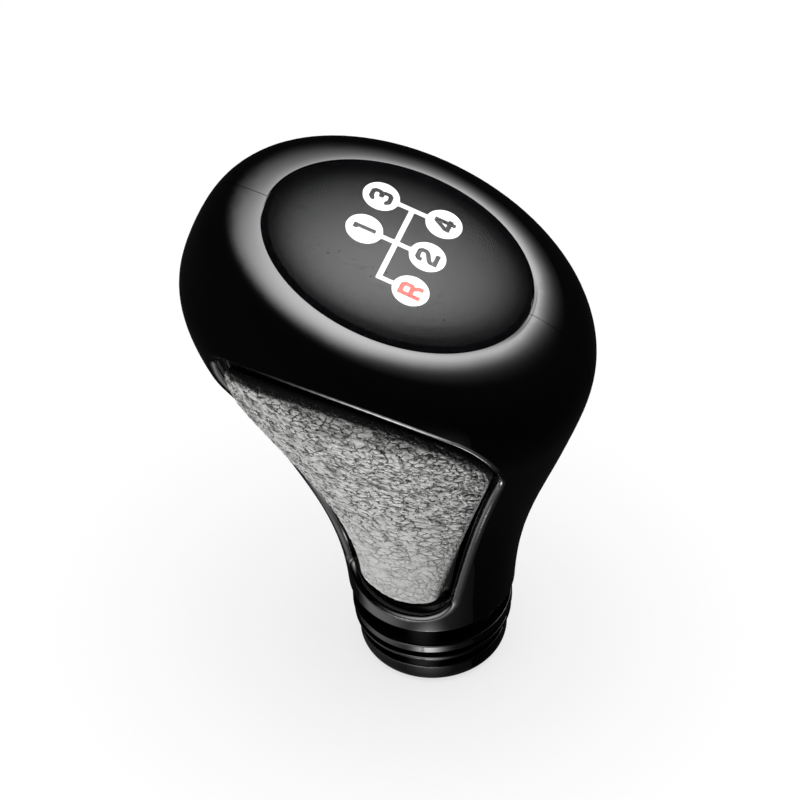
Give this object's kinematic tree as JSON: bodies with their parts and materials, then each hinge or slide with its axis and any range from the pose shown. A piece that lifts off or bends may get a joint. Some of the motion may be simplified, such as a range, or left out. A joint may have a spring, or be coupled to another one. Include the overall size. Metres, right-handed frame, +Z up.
{
  "type": "gear shift knob",
  "caption": "Gloss black gear shift knob with an oval shift pattern badge under a clear dome, leather grip pads in its sides and a grooved collar round a threaded lever socket.",
  "frame": {"origin": "on the gear lever's axis, at the bottom of the foot", "axes": "+Z up along the gear lever, +Y towards the front of the car, +X to the right as the driver sits"},
  "size_m": [0.0548, 0.067, 0.094],
  "materials": {
    "body_plastic": "high gloss moulded",
    "grip_leather": "creased grain with a sheen",
    "badge_print": "printed",
    "badge_resin": "clear cast resin",
    "insert_brass": "turned",
    "collar_plastic": "high gloss moulded",
    "screw_steel": "zinc plated"
  },
  "bodies": {
    "root": {"shell_left": "body_plastic", "shell_right": "body_plastic", "grip_pad_left": "grip_leather", "grip_pad_right": "grip_leather", "badge_plate": "badge_print", "badge_dome": "badge_resin", "threaded_insert": "insert_brass", "base_collar": "collar_plastic", "shell_screws": "screw_steel"}
  },
  "joints": []
}
